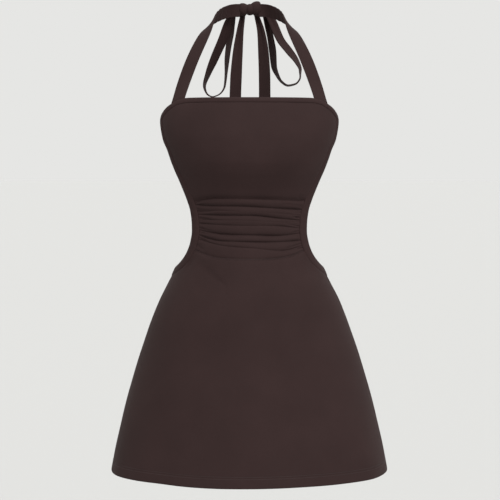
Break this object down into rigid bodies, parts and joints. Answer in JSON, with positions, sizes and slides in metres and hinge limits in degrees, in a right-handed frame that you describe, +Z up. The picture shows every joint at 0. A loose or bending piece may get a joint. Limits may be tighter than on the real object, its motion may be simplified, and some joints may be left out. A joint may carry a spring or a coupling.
{
  "type": "halter dress",
  "caption": "Short halter dress of stretch jersey with an open back, gathered waist, flared skirt and straps tied in a bow at the nape.",
  "frame": {"origin": "at the nape, on the inner side of the tied straps, where the wearer's neck holds the dress up", "axes": "+Z up the height of the dress, -Y out of the front, +X to the right of a viewer in front"},
  "size_m": [0.473, 0.346, 0.8033],
  "materials": {
    "panel_jersey": "smooth matt stretch jersey with a faint sheen",
    "binding_jersey": "doubled matt stretch jersey",
    "strap_jersey": "flat tube of matt stretch jersey"
  },
  "bodies": {
    "root": {"front": "panel_jersey", "back": "panel_jersey", "neck_band": "binding_jersey", "side_band_left": "binding_jersey", "side_band_right": "binding_jersey", "strap_left": "strap_jersey", "strap_right": "strap_jersey", "bow_knot": "strap_jersey", "bow_loop_left": "strap_jersey", "bow_loop_right": "strap_jersey", "tie_end_left": "strap_jersey", "tie_end_right": "strap_jersey"}
  },
  "joints": []
}
